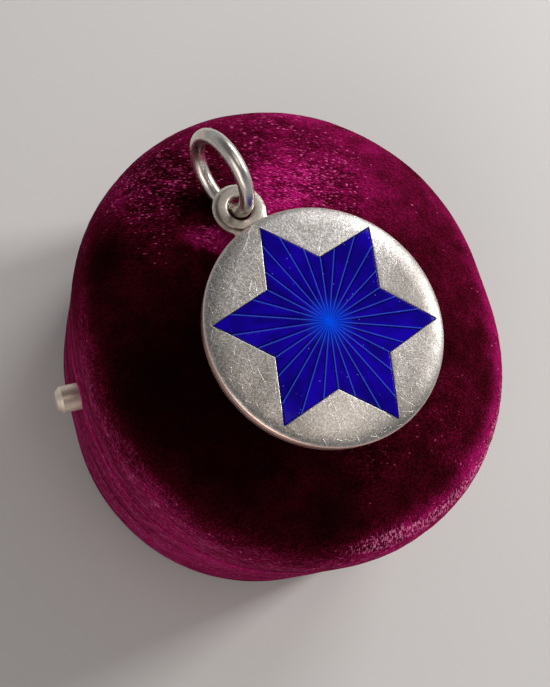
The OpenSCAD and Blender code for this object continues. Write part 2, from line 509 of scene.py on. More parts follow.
def bottomPaperMaterial():
    # dark red paper glued under the box, rubbed pale where it stands
    look = paperLook
    material, tree, shader = startMaterial("winePaperBottom", Specular_IOR_Level=0.3)
    place = objectPlace(tree)
    fibres, rubs = noiseAt(place, 0.35, 5.0, 0.7), noiseAt(place, 9.0, 5.0, 0.65)
    share = span(rubs, 0.40, 0.68) * span(fibres, 0.35, 0.6, 0.35, 1.0)
    feed(shader, {"Base Color": layColours(look["dark"], (share, look["worn"])),
                  "Roughness": span(fibres, 0.3, 0.7, 0.75, 0.55), "Normal": bumpNormal(fibres, 0.06, 0.8)})
    return material


creamSilk = silkMaterial()
winePaper = bottomPaperMaterial()


def dressFaces(piece, material, first, last):
    # gives the faces from first up to last another material of the same piece
    piece.data.materials.append(material)
    used = np.zeros(len(piece.data.polygons), np.int32)
    piece.data.polygons.foreach_get("material_index", used)
    used[first:last] = len(piece.data.materials) - 1
    piece.data.polygons.foreach_set("material_index", used)


boxPlan = {"endRadius": 24.5, "halfStraight": 2.7}
threadSize = (1.4, 0.34)    # along and across the wall
paintLimit = 2.8
domeSteps = 60
lidCover = {
    "apex": 33.2, "rise": 2.6, "padRadius": 6.0, "rim": 18.0, "pile": 0.32, "rimRound": 0.35,
    "halfGrid": 136, "middle": 6.0, "inner": 2.3, "wallNap": 0.75, "wallCrush": 0.16,
    "evenCrush": 0.02, "evenNap": 0.6, "relief": 0.06, "swell": 0.07, "foldRings": 9, "liningStep": 12,
    # x, y, radius, amount
    "crushed": [(-20, 2, 15, 0.5), (-14, 6, 8, 0.5), (-18.5, -13, 9, 1.0), (-10, -9.4, 3, 0.9),
                (-19, 4.4, 5, -0.22), (-11, -15.5, 6, 0.3), (-13.5, -0.5, 5, 0.35), (14, 10, 11, 0.2),
                (17, 1, 6, 0.32)],
    # painted light and shade on the pile: lighter and darker patches, among them a painted shadow left of the
    # eye, a painted pool of light just below it and painted shade beneath the eye's hole
    "napAndLightPatches": [(-20, 6, 15, 2.3), (-18, -13, 8, 1.4), (-9.3, -8.2, 2.3, 11.0), (-9.9, -10, 2, 5.5),
                (-10.7, -11.6, 1.7, 2.4), (-20, 3.5, 5, 0.66), (-11.2, -6.1, 1.9, 0.0),
                (-17, -15, 7, 1.35), (-13.9, -8.8, 2.4, 0.2), (-14.3, -11.2, 2.6, 0.5),
                (-13.6, -1.2, 4.5, 3.8), (-20.5, 7, 4, 0.65), (-20, -12, 5, 0.55), (-11, -20, 7, 0.25),
                (-15, 1, 8, 2.1), (-11, 11, 6, 1.45), (22, -4, 8, 0.6), (25, -6, 6, 0.6),
                (22.4, 8.5, 4, 0.75), (4, -18, 15, 0.25), (15, -13, 11, 0.5), (20, 14, 6, 1.4),
                (8, 18, 10, 0.85), (17, 7, 7, 0.95), (-11, -18, 6, 1.4), (6, 20, 6, 1.5), (-8, 19, 9, 1.2),
                (16, -21, 7, 2.0)],
    # painted light and shade on the lid's wall: lighter and darker patches
    "wallNapAndLightPatches": [(-12, -22, 9, 0.42), (12, -22, 8, 0.9), (3, -25, 5, 1.0), (17, -19, 11, 1.25),
                    (-20, 14, 14, 0.8)],
}
baseCover = {
    "rim": 17.8, "foot": 1.2, "pile": 0.28, "rimRound": 0.35, "inner": 2.3, "rings": 76, "columns": 1088,
    "nap": 0.9, "crease": 9.8, "floor": 2.35, "bottom": 0.1, "relief": 0.055, "swell": 0.06,
}


def outlineAt(share):
    # the middle line's point and the direction, for places along the box's outline
    radius, half = boxPlan["endRadius"], boxPlan["halfStraight"]
    quarter, straight = math.pi * radius / 2, 2 * half
    runs = np.cumsum([0, quarter, straight, 2 * quarter, straight, quarter])
    at = (share % 1) * runs[-1]
    turn = np.interp(at, runs, np.radians([0, 90, 90, 270, 270, 360]))
    middle = np.interp(at, runs, [half, half, -half, -half, half, half])
    return middle, turn, at


def squareRings(half):
    # a square grid of points read as rings: ring number, share along the ring, faces and the outer ring
    side = np.arange(-half, half + 1)
    i, j = (g.ravel() for g in np.meshgrid(side, side, indexing="ij"))
    ring = np.maximum(abs(i), abs(j))
    along = np.select(
        [(i == ring) & (j > -ring), (j == ring) & (i < ring), (i == -ring) & (j < ring)],
        [j + ring, 3 * ring - i, 5 * ring - j], 7 * ring + i)
    share = np.where(ring > 0, along / np.maximum(8 * ring, 1) - 0.125, 0) % 1
    wide = 2 * half + 1
    corner = (np.arange(2 * half)[:, None] * wide + np.arange(2 * half)[None, :]).ravel()
    faces = np.array([corner, corner + wide, corner + wide + 1, corner + 1]).T
    outer = np.where(ring == half)[0]
    outer = outer[np.argsort(share[outer])]
    return ring, share, faces.tolist(), outer


def domeSection(apex, rise, edge, radius):
    # the same domed section as the CAD lid's, from its middle to the top of its wall
    flat = radius - edge
    big = (flat * flat + rise * rise) / (2 * rise)
    lean = math.degrees(math.asin(flat / (big - edge)))
    drop = big - (big - edge) * math.cos(math.radians(lean))
    dome = arcPoints((0, apex - big), big, 90, 90 - lean, domeSteps)
    return dome + arcPoints((flat, apex - drop), edge, 90 - lean, 0, 90)


def stretchedNoise(points, direction, long, short, seed):
    # noise drawn out along a level direction
    c, d = math.cos(math.radians(direction)), math.sin(math.radians(direction))
    x, y, z = points.T
    place = np.array([(x * c + y * d) / long, (y * c - x * d) / short, z / short]).T
    return latticeNoise(place, 1.0, seed)


def roundWall(points, down, long, short):
    # places for noise that is drawn out along the wall, without a seam
    return np.array([points[:, 0] / long, points[:, 1] / long, down / short]).T


def wallRows(points, down):
    # broad wavy rows along the wall, about -1 to 1, that catch the light more or less
    wave = noiseSum(points, (3.4, 32, 1.2), (9.0, 20, 1.8))
    return (latticeNoise(roundWall(points, down + wave, 8.0, 1.5), 1.0, 33)
            + 0.6 * latticeNoise(roundWall(points, down + wave, 4.5, 0.75), 1.0, 34))


def pileRelief(points, down, crush, streak, comb):
    # how the pile stands, about -1 to 1: rows and clumps where it is crushed, ridges along the wall
    rows = stretchedNoise(points, 73, 2.4, 0.62, 10) + 0.6 * stretchedNoise(points, 64, 1.1, 0.36, 17)
    clumps = noiseSum(points, (0.42, 11, 0.7), (1.05, 12, 0.55))
    wave = noiseSum(points, (2.6, 19, 0.7), (9.0, 20, 1.4))
    run = roundWall(points, down + wave, 2.3, 0.34)
    ridges = 0.6 * latticeNoise(run, 1.0, 13) + 0.6 * latticeNoise(run * 2.1, 1.0, 14)
    tips = latticeNoise(roundWall(points, down, 0.42, 1.9), 1.0, 18)
    relief = (0.6 * rows + 0.5 * clumps) * (0.03 + crush) + 0.5 * ridges * streak + 0.4 * tips * comb
    return relief + 0.07 * clumps


def swellOf(points):
    return noiseSum(points, (7.0, 15, 1.0), (3.2, 16, 0.5))


def outlineLength():
    return 2 * math.pi * boxPlan["endRadius"] + 4 * boxPlan["halfStraight"]


def paintVelvet(piece, along, down, **fields):
    # each field is its values for the first points and one value for the points that are left
    count = len(piece.data.vertices)
    paintPoints(piece, **{name: np.clip(np.r_[values, np.full(count - len(values), rest)], 0, paintLimit)
                          for name, (values, rest) in fields.items()})
    layer = piece.data.uv_layers.new(name="pileRun")
    corners = np.zeros(len(piece.data.loops), np.int32)
    piece.data.loops.foreach_get("vertex_index", corners)
    sides = np.zeros(len(piece.data.polygons), np.int32)
    piece.data.polygons.foreach_get("loop_total", sides)
    # the run starts at the back, behind the hinge, and the faces there close it
    whole = outlineLength()
    run = ((along - whole / 4) % whole)[corners]
    face = np.repeat(np.arange(len(sides)), sides)
    furthest = np.zeros(len(sides))
    np.maximum.at(furthest, face, run)
    run += whole * (furthest[face] - run > whole / 2)
    places = np.array([run / threadSize[0], down[corners] / threadSize[1]]).T * mm
    layer.data.foreach_set("uv", places.astype(np.float32).ravel())


def napAndLightBy(patches, points):
    total = np.ones(len(points))
    for x, y, radius, amount in patches:
        total *= 1 + (amount - 1) * blob(points, (x, y), radius)
    return total


def pileCrushAndLight(points):
    # how crushed the pile is, and how bright it is over the top of the lid: painted light and painted shadow
    # patches laid on it
    crush = np.full(len(points), lidCover["evenCrush"])
    for x, y, radius, amount in lidCover["crushed"]:
        crush += amount * blob(points, (x, y), radius)
    return np.clip(crush, 0, 1), lidCover["evenNap"] * napAndLightBy(lidCover["napAndLightPatches"], points)


def boxPoints(middle, turn, radius, height):
    # points round the box's middle line
    return np.array([middle + radius * np.cos(turn), radius * np.sin(turn), height + 0 * turn]).T


def lidTop(cover, outside, fold):
    # the cloth over the lid: a square grid laid over it as rings, so that its middle isn't pinched
    ring, share, faces, outer = squareRings(cover["halfGrid"])
    section, dome = outside + fold[1:], outside[:domeSteps + 1]
    down = ring / cover["halfGrid"] * profileLength(outside)
    spot, away = walkProfile(section, down)
    middle, turn, at = outlineAt(share)
    middle = middle * np.minimum(1, spot[:, 0] / cover["middle"])
    points = boxPoints(middle, turn, spot[:, 0], spot[:, 1])
    # in the middle the height follows the distance from the box's middle line
    distance = np.hypot(np.maximum(abs(points[:, 0]) - boxPlan["halfStraight"], 0), points[:, 1])
    spotIn, awayIn = walkProfile(section, np.interp(
        distance, [p[0] for p in dome], np.linspace(0, profileLength(dome), domeSteps + 1)))
    inside = spot[:, 0] < cover["middle"] + 0.5
    points[:, 2] = np.where(inside, spotIn[:, 1], spot[:, 1])
    return points, np.where(inside[:, None], awayIn, away), down, middle, turn, at, faces, outer


def lidPile(cover, points, tilt, down, turn, length):
    # how the lid's pile is crushed, how bright it is with painted light and shade, how it is streaked along
    # the wall and combed at the edge
    wall = softStep(down, length - 12, length - 6)
    crush, nap = pileCrushAndLight(points)
    crush, nap = crush * (1 - wall) + cover["wallCrush"] * wall, nap * (1 - wall) + cover["wallNap"] * wall
    nap *= 1 + wall * (napAndLightBy(cover["wallNapAndLightPatches"], points) - 1)
    # painted sheen: a lighter line along the lid's lower edge
    nap *= 1 + 0.5 * softStep(down, length - 0.9, length - 0.4)
    nap *= 1 + (1 - wall) * noiseSum(points, (1.3, 30, 0.30), (3.6, 31, 0.28))
    rows = wallRows(points, down)
    streak = wall * np.clip(0.6 + 0.6 * rows, 0.15, 1.3)
    nap *= 1 + 0.34 * wall * rows
    towards = lambda bearing: np.cos(turn - math.radians(bearing))
    # painted highlight: the lid's shoulder is lighter, with more glinting specks, on the side where the light
    # grazes it
    paintedLitShoulder = 0.3 * softStep(-tilt, -0.90, -0.70) * softStep(tilt, 0.0, 0.3) * softStep(towards(38), 0.5, 0.85)
    nap = nap * (1 + paintedLitShoulder) * (1 + 0.5 * softStep(-tilt, -0.96, -0.80) * softStep(towards(48), 0.35, 0.8))
    # painted glints: whitish lit tips in a narrow band inside the lid's edge, and a fainter band of combed
    # tips towards the button
    inset = cover["padRadius"] * (1 - np.sqrt(1 - np.clip(tilt, 0, 1) ** 2))
    bearing = np.degrees((turn + math.pi) % (2 * math.pi) - math.pi)
    centre = 1.45 - 0.5 * softStep(bearing, 8, 32) - 0.2 * softStep(bearing, 40, 60)
    centre = inset - centre - 0.3 * latticeNoise(points, 2.2, 25)
    faint = 0.34 * bell(centre + 0.35, 0.5) * softStep(-bearing, 5, 40) * softStep(bearing, -120, -90)
    paintedGlintFringe = bell(centre, 0.85) * softStep(bearing, -25, 12) * softStep(-bearing, -85, -50)
    comb = softStep(-tilt, -0.975, -0.92) * softStep(tilt, 0.35, 0.7) * 0.22
    comb += (paintedGlintFringe + faint) * (0.85 + 0.35 * latticeNoise(points, 2.5, 24))
    return crush + paintedLitShoulder, nap, streak, comb


def buildVelvetLid():
    cover = lidCover
    radius, rim, soft, inner = boxPlan["endRadius"], cover["rim"], cover["rimRound"], cover["inner"]
    outside = domeSection(cover["apex"], cover["rise"], cover["padRadius"], radius) + [(radius, rim + soft)]
    fold = arcPoints((radius - soft, rim + soft), soft, 0, -90, 8) + [(radius - inner + 0.2, rim)]
    length = profileLength(outside)
    points, away, down, middle, turn, at, faces, outer = lidTop(cover, outside, fold)
    crush, nap, streak, comb = lidPile(cover, points, away[:, 1], down, turn, length)
    relief = pileRelief(points, down, crush, streak, comb)
    lift = cover["pile"] + cover["relief"] * relief + cover["swell"] * swellOf(points)
    lift *= 1 - 0.35 * softStep(down, length - 0.8, length)
    points = points + boxPoints(0, turn, *away.T) * lift[:, None]

    # the cloth turns under the rim and lines the lid's inside
    columns, foldRings = len(outer), cover["foldRings"]
    lining = domeSection(cover["apex"] - inner, cover["rise"], cover["padRadius"] - inner, radius - inner)
    loops = [*(walkProfile(fold, np.linspace(0.12, profileLength(fold), foldRings))[0] + (0, 0.05)),
             (radius - inner, rim + 0.3), *[(r, z) for r, z in lining[::-1][::cover["liningStep"]] if r > 2]]
    rings = [len(points) + k * columns for k in range(len(loops))]
    points = np.vstack([points, *[boxPoints(middle[outer] * min(1, r / cover["middle"]), turn[outer], r, z)
                                  for r, z in loops], [[0, 0, cover["apex"] - inner]]])
    liningFrom = len(faces) + foldRings * columns
    order, first = outer.tolist(), rings[0]
    after = [(n + 1) % columns for n in range(columns)]
    faces += [(order[n], first + n, first + after[n], order[after[n]]) for n in range(columns)]
    faces += bridgeAll(rings, columns) + closeRing(rings[-1], columns, len(points) - 1, -1)
    piece = meshPiece("velvetLid", points, faces, "box_lid", velvetMaterial("velvetLidPile"), "velvet_lid")
    paintVelvet(piece, np.r_[at, np.tile(at[outer], len(loops)), 0],
                np.r_[down, np.repeat(length + np.arange(len(loops)) * 0.6, columns), 0], crush=(crush, 0.1),
                nap=(nap, 0.95), streak=(streak, 0.0), relief=(0.5 + 0.5 * relief, 0.75), comb=(comb, 0.0))
    dressFaces(piece, creamSilk, liningFrom, len(faces))
    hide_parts("lid")
    print("velvet lid:", len(piece.data.polygons), "faces")


def buildVelvetBase():
    cover = baseCover
    radius, foot, soft, inner = boxPlan["endRadius"], cover["foot"], cover["rimRound"], cover["inner"]
    columns, rim, bottom = cover["columns"], cover["rim"], cover["bottom"]
    # from the rim's inside edge over the rim, down the wall and round the foot
    section = [(radius - inner, rim - 0.4), (radius - inner + 0.3, rim), (radius - soft, rim)]
    section += arcPoints((radius - soft, rim - soft), soft, 90, 0, 8)
    section += arcPoints((radius - foot, foot + bottom), foot, 0, -90, 12) + [(radius - foot - 1.5, bottom)]
    places = np.linspace(0, profileLength(section), cover["rings"])
    spot, away = walkProfile(section, places)
    middle, turn, at = outlineAt(np.arange(columns) / columns)
    r, z, outward, upward, down = (np.repeat(values, columns) for values in (*spot.T, *away.T, places))
    middleAll, turnAll, along = (np.tile(values, len(places)) for values in (middle, turn, at))
    points = boxPoints(middleAll, turnAll, r, z)
    streak = softStep(z, 0.5, 2.0) * (1 - softStep(z, rim - 1.0, rim))
    crush = 0.14 + 0.08 * latticeNoise(points, 6, 21)
    rows = wallRows(points, down)
    nap = (cover["nap"] + 0.2 * latticeNoise(points, 9, 22)) * (1 + 0.34 * rows * streak)
    streak *= np.clip(0.75 + 0.6 * rows, 0.15, 1.3)
    # a crease round the wall: the cloth dips there and is painted darker as shade
    crease = bell(z - cover["crease"] - 0.6 * latticeNoise(points, 10, 23), 0.55)
    relief = pileRelief(points, down, crush, streak, 0 * z) - 0.2 * crease
    # painted light: lighter on a patch of the wall and towards the rounded rim; painted shade in the crease
    nap *= 1 + 0.3 * blob(points, (23, -14), 9)
    nap *= (1 - 0.2 * crease) * (1 + 0.5 * softStep(z, rim - 1.1, rim - 0.6))
    lift = cover["pile"] + cover["relief"] * relief + cover["swell"] * swellOf(points) - 0.05 * crease
    lift *= softStep(z, bottom, 1.4) * (1 - 0.6 * softStep(z, rim - 0.6, rim))
    lift[z > rim - 0.05] *= 0.1
    points = points + boxPoints(0, turnAll, outward, upward) * lift[:, None]
    # the inside wall and floor close the cover
    floor = cover["floor"]
    inside = [(radius - inner - 0.15, rim - 1.2), (radius - inner - 0.15, floor + 0.25),
              (radius - inner - 1.0, floor), (radius * 0.5, floor)]
    outside, top = len(points), len(points) + len(inside) * columns
    points = np.vstack([points, *[boxPoints(middle, turn, q, h) for q, h in inside],
                        [[0, 0, floor], [0, 0, bottom]]])
    faces = bridgeAll(range(0, outside, columns), columns)
    for start in range(outside, top, columns):
        faces += bridgeRings(start, start - columns if start > outside else 0, columns)
    faces += closeRing(top - columns, columns, top) + closeRing(outside - columns, columns, top + 1, -1)
    piece = meshPiece("velvetBase", points, faces, "box_base", velvetMaterial("velvetBasePile"),
                      "velvet_base")
    rest = np.zeros(len(points) - outside)
    paintVelvet(piece, np.r_[along, rest], np.r_[down, rest], crush=(crush, 0.1), nap=(nap, 0.5),
                streak=(streak, 0.0), relief=(0.5 + 0.5 * relief, 0.5), comb=(0 * z, 0.0))
    dressFaces(piece, creamSilk, outside - columns, len(faces) - columns)
    dressFaces(piece, winePaper, len(faces) - columns, len(faces))
    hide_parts("base")
    print("velvet base:", len(piece.data.polygons), "faces")


buildVelvetLid()
buildVelvetBase()


# Silver

def addScratches(place, cell, width, chance):
    # one bent scratch of its own direction in some cells of that size
    _, centre, dice, tint = cellsAt(place, 1 / (cell * mm))
    away = addNode("ShaderNodeVectorMath", 0, {0: place, 1: centre}, operation="SUBTRACT")
    along, aside, _ = partsOf(addNode("ShaderNodeVectorRotate", 0, {"Vector": away, "Angle": dice * 6.28},
                                      rotation_type="Z_AXIS"))
    line = span(abs(aside + along * along * 45.0), width * mm, width * 0.3 * mm)
    ends = span(abs(along), cell * 0.5 * mm, cell * 0.25 * mm)
    return line * ends * span(partsOf(tint)[1], 1 - chance, 1.0)


def buildSilverGroup():
    # wear of old silver: scratches in all directions, tarnish clouds, fine grain and small dark specks
    group, given, result = startGroup("silverWear", {"Place": None, "Amount": 1.0},
                                      ["Scratch", "Tarnish", "Grain", "Speck", "Height"])
    place, scratch = given["Place"], 0.0
    for cell, width, chance, shift in (
            (3.4, 0.045, 0.55, 0.0), (1.7, 0.036, 0.8, 0.013), (0.9, 0.03, 0.8, 0.029),
            (2.3, 0.04, 0.7, 0.047), (4.6, 0.034, 0.9, 0.071), (1.3, 0.03, 0.95, 0.093)):
        shifted = addNode("ShaderNodeVectorMath", 0, {0: place, 1: (shift, shift * 0.7, 0.0)},
                          operation="ADD")
        scratch = compute("MAXIMUM", addScratches(shifted, cell, width, chance), scratch)
    scratch = scratch * given["Amount"]
    fine = noiseAt(place, 0.19, 5.0, 0.75)
    feed(result, {"Scratch": scratch, "Tarnish": span(noiseAt(place, 5.5, 6.0, 0.68), 0.40, 0.70),
                  "Grain": span(fine, 0.43, 0.58), "Speck": span(noiseAt(place, 0.2, 1.0), 0.67, 0.76),
                  "Height": fine * 0.12 - scratch * 0.12 + noiseAt(place, 2.4) * 0.45})
    return group


silverWear = buildSilverGroup()


def silverMaterial(name, look):
    material, tree, shader = startMaterial(name, Metallic=1.0)
    wear = useGroup(tree, silverWear, {"Place": objectPlace(tree), "Amount": look["amount"]})
    # darker tarnish colour from the clouds and the dull points; the dull points are also painted shade on the
    # reflections
    tarnish = wear["Tarnish"] * look["tarnish"] + pointValue(tree, "dull")
    tarnish = compute("MAXIMUM", compute("MINIMUM", tarnish, 1.0), 0.0)
    # bright scratches, and the worn points: rubbed silver that is partly painted highlight
    bare = compute("MAXIMUM", wear["Scratch"] * 0.42, pointValue(tree, "worn"))
    colour = layColours(look["clean"], (tarnish, look["dull"]),
                        ((1.0 - wear["Grain"]) * look["grain"], look["speck"]),
                        (wear["Speck"] * 0.45, look["speck"]), (bare, look["bare"]),
                        (pointValue(tree, "rosy"), rosyEdge))
    feed(shader, {"Base Color": colour, "Normal": bumpNormal(wear["Height"], look["depth"]),
                  "Roughness": wear["Tarnish"] * look["roughGain"] + look["rough"] - bare * 0.14})
    return material


# painted reflection: a pink tint as if the velvet showed in the case's edge
rosyEdge = (0.95, 0.64, 0.56, 1)
silverLooks = {
    "front": {"clean": (0.80, 0.775, 0.755, 1), "dull": (0.36, 0.34, 0.32, 1),
              "speck": (0.20, 0.18, 0.165, 1), "bare": (0.98, 0.88, 0.78, 1),
              "tarnish": 0.7, "grain": 0.72, "rough": 0.38, "roughGain": 0.10,
              "amount": 1.0, "depth": 0.11},
    "back": {"clean": (0.55, 0.50, 0.44, 1), "dull": (0.36, 0.33, 0.29, 1),
             "speck": (0.20, 0.18, 0.165, 1), "bare": (0.93, 0.85, 0.74, 1),
             "tarnish": 0.8, "grain": 0.3, "rough": 0.38, "roughGain": 0.12,
             "amount": 1.0, "depth": 0.03},
    "ring": {"clean": (0.80, 0.745, 0.69, 1), "dull": (0.52, 0.48, 0.44, 1),
             "speck": (0.30, 0.27, 0.24, 1), "bare": (0.88, 0.86, 0.83, 1),
             "tarnish": 0.7, "grain": 0.25, "rough": 0.27, "roughGain": 0.08,
             "amount": 0.5, "depth": 0.007},
}
pendantMiddle = (2.92, -0.75)
pendantTurn = 110
pendantPlace = Matrix.Translation((*pendantMiddle, 0)) @ Matrix.Rotation(math.radians(pendantTurn), 4, "Z")
faceHeight = 36.5
starCell = {"point": 12.28, "corner": 7.19, "lip": 0.10}
frontPlate = {"radius": 13.15, "rise": 0.15, "roll": 0.6, "rollFrom": 10.6, "thick": 1.2, "cellDepth": 0.6,
              "columns": 720,
              # x, y, radius, amount of darker tarnish colour, also painted shade on the face's reflections; a
              # negative amount lightens it
              "dull": [(13, 5, 8, 0.7), (1, 11, 9, 0.95), (10, -9, 9, 0.4), (-4, -10, 7, 0.05),
                       (-5, 6, 6, -0.3), (12, -2, 6, -0.6)]}


def starRadius(angles, inset=0.0):
    # distance from the centre to the star's outline, which is drawn in by inset
    point, corner, step = starCell["point"], starCell["corner"], math.radians(30)
    side = math.sqrt(point ** 2 + corner ** 2 - 2 * point * corner * math.cos(step))
    near = point * corner * math.sin(step) / side
    turn = (angles - math.pi / 2) % (2 * step)
    turn = np.where(turn > step, 2 * step - turn, turn)
    full = point * corner * math.sin(step) / (point * np.sin(turn) + corner * np.sin(step - turn))
    return full * (1 - inset / near)


def faceTop(r):
    # height of the silver face: a low dome that rolls over towards its rim
    plate = frontPlate
    bend = np.clip((r - plate["rollFrom"]) / (plate["radius"] - plate["rollFrom"]), 0, 1)
    dome = faceHeight - plate["rise"] * (r / plate["radius"]) ** 2
    return dome - plate["roll"] * (1 - np.sqrt(1 - bend * bend))


def rosyShare(points, rim, width):
    # painted reflection: the case's edge is tinted pink as if it reflected the velvet, most of all on the
    # side towards the box's button
    out = np.asarray(points)[:, :2] - np.array(pendantMiddle)
    reach = np.linalg.norm(out, axis=1)
    side = (out[:, 0] - out[:, 1]) / np.maximum(reach, 1) / math.sqrt(2)
    share = (0.2 + 0.6 * softStep(side, 0.1, 0.8)) * softStep(reach, rim - width, rim - width * 0.3)
    return share * (reach < rim + 0.05)    # the eye beyond the rim is left out


def buildFrontPlate():
    plate = frontPlate
    columns = plate["columns"]
    angles = fullTurn(columns)
    low, bottom = faceHeight - plate["thick"], faceHeight - plate["cellDepth"]
    flat, star, lip = plate["radius"] - 0.5, starRadius(angles), starCell["lip"]
    outer = np.minimum(starRadius(angles, -lip), flat)
    loops = [(star, bottom), (star, faceTop(star) - lip)]
    loops += [(star + (outer - star) * s, faceTop(star) - lip * (1 - math.sin(math.acos(1 - s))))
              for s in (0.15, 0.4, 0.7)]
    lipRings = len(loops)
    loops += [(r, faceTop(r)) for r in (outer + (flat - outer) * s for s in np.linspace(0, 1, 16))]
    rolled = plate["radius"] - np.array([0.4, 0.3, 0.2, 0.13, 0.07, 0.03, 0.01, 0])
    loops += [(r, float(faceTop(r))) for r in rolled]
    loops += [(plate["radius"] - inset, low + rise) for inset, rise in
              ((0, 0.34), (0.03, 0.22), (0.1, 0.11), (0.2, 0.03), (0.3, 0), (0.8, 0))]
    end = len(loops) * columns
    points = np.vstack([ringPoints(loops, angles), [[0, 0, bottom], [0, 0, low]]])
    faces = bridgeAll(range(0, end, columns), columns)
    faces += closeRing(0, columns, end) + closeRing(end - columns, columns, end + 1, -1)
    placed = moved(points, pendantPlace)
    piece = meshPiece("silverFront", placed, faces, "box_lid",
                      silverMaterial("satinSilverFront", silverLooks["front"]), "silver_front", sharpAngle=35)
    # painted highlight, laid in as rubbed bright silver: the lip, the rim and a patch at the bottom are
    # lighter
    reach = np.linalg.norm(points[:, :2], axis=1)
    rim = softStep(reach, plate["radius"] - 0.4, plate["radius"] - 0.05) * (points[:, 2] > low + 0.4)
    worn = np.maximum(0.5 * rim, 0.35 * blob(placed, (12.6, -2.4), 6.5))
    worn[columns:lipRings * columns] = np.maximum(worn[columns:lipRings * columns], 0.25)
    paintPoints(piece, worn=worn, rosy=rosyShare(placed, plate["radius"], 0.2),
                dull=sum(amount * blob(placed, (x, y), radius) for x, y, radius, amount in plate["dull"]))
    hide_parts("front_plate")
    print("silver front:", len(piece.data.polygons), "faces")


buildFrontPlate()

backCase = {"radius": 13.05, "top": 35.2, "thick": 1.7, "edge": 0.9}


def buildBackCase():
    case = backCase
    low = case["top"] - case["thick"]
    r, edge = case["radius"], case["edge"]
    section = [(0, case["top"]), (r - 1.2, case["top"])]
    for inset, drop in ((0.3, 0), (0.2, 0.02), (0.1, 0.09), (0.03, 0.2)):
        section.append((r - inset, case["top"] - drop))
    section += [(r, low + edge)] + arcPoints((r - edge, low + edge), edge, 0, -85, 8)
    section += [(r - 3, low + 0.03), (r - 6, low + 0.01), (0, low)]
    points, faces = lathePiece(section, 256)
    eyePoints, eyeFaces = eyeShape()
    piece = joinedPiece("silverBack", (moved(points, pendantPlace), faces),
                        (moved(eyePoints, pendantPlace), eyeFaces), "box_lid",
                        silverMaterial("satinSilverBack", silverLooks["back"]), "silver_case", 40)
    placed = np.zeros(len(piece.data.vertices) * 3)
    piece.data.vertices.foreach_get("co", placed)
    middle = np.array(pendantPlace @ Vector((0, eyePart["distance"], 0)))[:2]
    placed = placed.reshape(-1, 3) / mm
    reach = np.linalg.norm(placed[:, :2] - middle, axis=1) - eyePart["radius"]
    # painted highlight on the eye's foot, laid in as rubbed bright silver, and darker along the step above it
    rubbed = softStep(reach, 0.1, 0.3) * softStep(-reach, -0.9, -0.5)
    paintPoints(piece, worn=0.75 * rubbed, dull=1.2 * bell(reach + 0.02, 0.1),
                rosy=0.9 * rosyShare(placed, case["radius"], 0.6))
    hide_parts("back_case")
    print("silver back with its eye:", len(piece.data.polygons), "faces")


eyePart = {"distance": 15.42, "radius": 2.52, "hole": 1.35, "thick": 1.0, "low": 34.3, "step": 0.52,
           "columns": 144}


def eyeShape():
    # a washer with a step at half its thickness, and solder that spreads from it to the case
    eye = eyePart
    low, top, columns = eye["low"], eye["low"] + eye["thick"], eye["columns"]
    angles, radius, hole, step = fullTurn(columns), eye["radius"], eye["hole"], low + eye["step"]
    toCase = np.clip(-np.sin(angles), 0, 1)
    neck = np.minimum(2.2 / np.maximum(abs(np.cos(angles)), 1e-3), 2.95 / np.maximum(toCase, 1e-3))
    foot = np.maximum(radius + 0.42, np.where(toCase > 0.05, np.minimum(neck, 3.95), 0))
    solder = softStep(toCase, 0.25, 0.8)
    section = arcPoints((hole + 0.3, top - 0.3), 0.3, 180, 90, 6)
    section += arcPoints((radius - 0.16, top - 0.16), 0.16, 90, 0, 5)
    section += [(radius, step + 0.08 + 0.12 * solder), (radius - 0.05, step + 0.13 * solder)]
    for share in (0.25, 0.5, 0.75, 1.0):
        rise = (1 - share) ** 2
        section.append((radius - 0.05 + (foot - radius + 0.05) * share,
                        step - 0.06 + 0.05 * rise + (0.10 + 0.12 * rise) * solder))
    section += [(foot, step - 0.22 + 0.05 * solder), (foot - 0.06, low + 0.1), (foot - 0.2, low)]
    section += arcPoints((hole + 0.3, low + 0.3), 0.3, -90, -180, 6)
    faces = []
    for n in range(len(section)):
        faces += bridgeRings((n + 1) % len(section) * columns, n * columns, columns)
    return ringPoints(section, angles) + (0, eye["distance"], 0), faces


def joinedPiece(name, first, second, body, material, slot, sharpAngle):
    # two closed shapes soldered into one
    piece = meshPiece(name, *first, body, material, slot)
    helper = newObject(name + "Part", *second)
    for mesh in (piece.data, helper.data):
        evenNormals(mesh)
    union = piece.modifiers.new("solder", "BOOLEAN")
    union.operation, union.solver, union.object = "UNION", "EXACT", helper
    bpy.context.view_layer.update()
    joined = bpy.data.meshes.new_from_object(piece.evaluated_get(bpy.context.evaluated_depsgraph_get()))
    piece.modifiers.clear()
    bpy.data.objects.remove(helper)
    joined.materials.clear()
    joined.materials.append(material)
    smoothMesh(joined, sharpAngle)
    piece.data = joined
    return piece


def evenNormals(mesh):
    work = bmesh.new()
    work.from_mesh(mesh)
    bmesh.ops.recalc_face_normals(work, faces=work.faces)
    work.to_mesh(mesh)
    work.free()


buildBackCase()
jumpRing = {"radius": 4.27, "wire": 0.8, "place": (-0.35, 19.05, 37.1), "around": 220, "across": 40}


def buildJumpRing():
    ring = jumpRing
    around, across = ring["around"], ring["across"]
    a, b = np.repeat(fullTurn(around), across), np.tile(fullTurn(across), around)
    # the wire is a little uneven, as drawn by hand
    wire = ring["wire"] * (1 - 0.02 * np.sin(3 * a + 1) - 0.015 * np.cos(2 * b))
    r = ring["radius"] + wire * np.cos(b)
    points = np.array([wire * np.sin(b), r * np.cos(a), r * np.sin(a)]).T + ring["place"]
    faces = bridgeAll([*range(0, len(points), across), 0], across)
    piece = meshPiece("jumpRing", moved(points, pendantPlace), faces, "box_lid",
                      silverMaterial("polishedRing", silverLooks["ring"]), "silver_ring")
    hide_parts("jump_ring")


